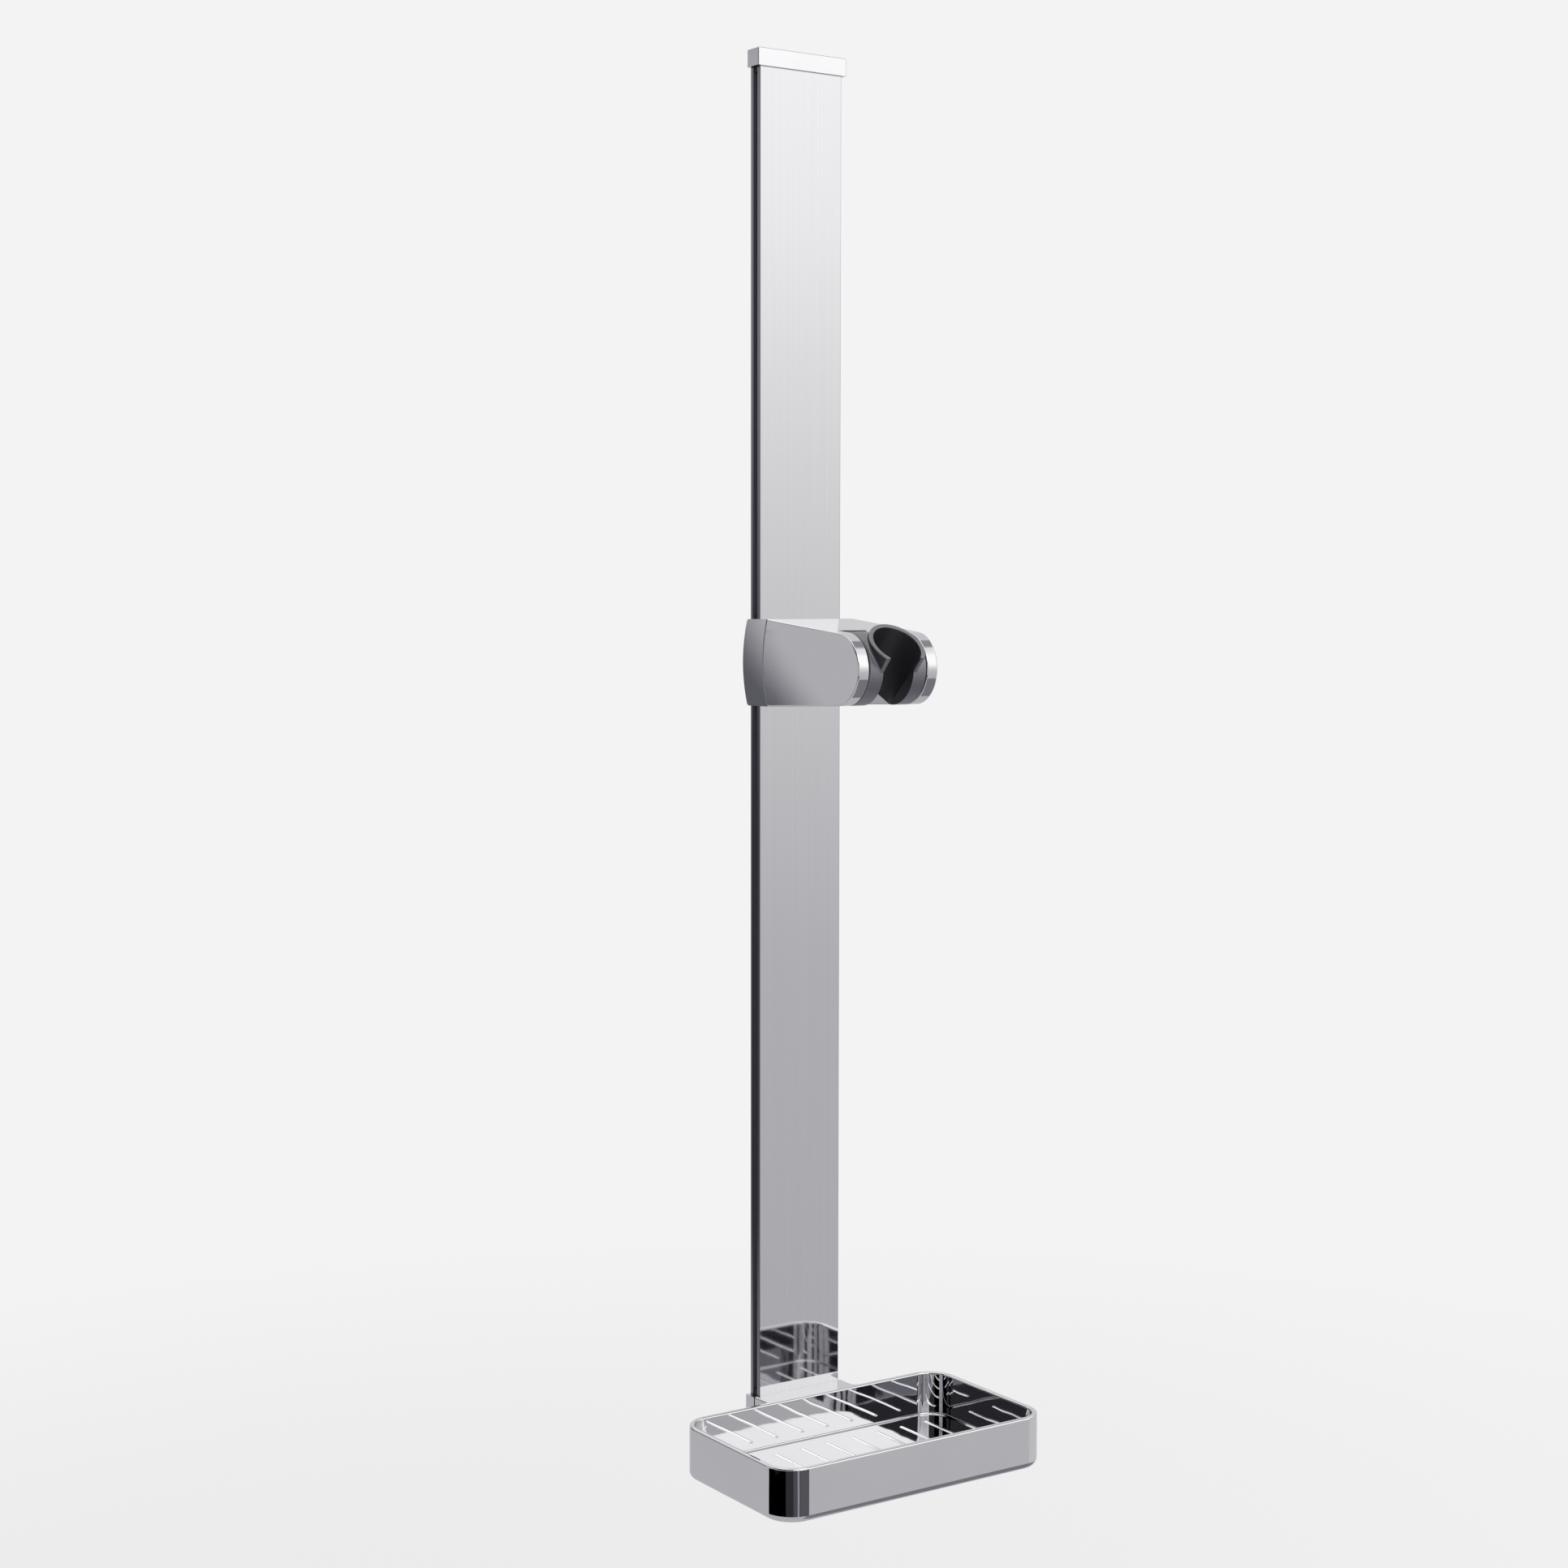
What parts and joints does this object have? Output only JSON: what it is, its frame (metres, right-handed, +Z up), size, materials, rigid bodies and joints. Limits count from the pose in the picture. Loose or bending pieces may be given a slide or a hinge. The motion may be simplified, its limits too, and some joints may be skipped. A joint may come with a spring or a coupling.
{
  "type": "shower slide rail",
  "caption": "Wall-mounted flat shower slide rail with a sliding carriage, a tilting split-cone hand-shower holder and a rounded rectangular soap tray at its foot.",
  "frame": {"origin": "middle of the two wall screw holes, on the wall plane", "axes": "+X along the wall to the right seen from the room, +Y into the wall, +Z up along the rail"},
  "size_m": [0.1636, 0.1188, 0.7165],
  "materials": {
    "bright_aluminium": "bright polished, anodised",
    "chromed_plastic": "bright chrome plate",
    "grey_plastic": "satin moulded",
    "black_nylon": "moulded",
    "white_acetal": "moulded, smooth",
    "steel": "zinc plated",
    "brass": "turned",
    "rubber": "matte"
  },
  "bodies": {
    "fixture": {"rail_profile": "bright_aluminium", "upper_wall_bracket": "black_nylon", "lower_wall_bracket": "black_nylon", "top_plug": "black_nylon", "hanging_screw": "steel", "top_cap": "chromed_plastic", "bottom_plug": "black_nylon", "tray": "chromed_plastic", "tray_clamp_jaw": "chromed_plastic", "tray_clamp_screws": "steel"},
    "slider": {"carriage": "chromed_plastic", "front_housing": "chromed_plastic", "right_side_cover": "chromed_plastic", "left_side_cover": "chromed_plastic", "carriage_screws": "steel", "right_glide": "white_acetal", "left_glide": "white_acetal", "brake_pad": "rubber", "brake_plunger": "black_nylon", "brake_spring": "steel", "right_friction_washer": "white_acetal", "left_friction_washer": "white_acetal"},
    "holder": {"holder_barrel": "grey_plastic", "right_pivot_screw": "steel", "left_pivot_screw": "steel", "right_spring_washer": "steel", "left_spring_washer": "steel", "right_pivot_insert": "brass", "left_pivot_insert": "brass"}
  },
  "joints": [
    {"name": "slider_slide", "type": "slide", "parent": "fixture", "child": "slider", "axis": [0, 0, 1], "range_m": [-0.3588, 0.2767]},
    {"name": "holder_tilt", "type": "hinge", "parent": "slider", "child": "holder", "pos_m": [0, -0.0798, 0.0381], "axis": [1, 0, 0], "range_deg": [-30, 35]}
  ]
}
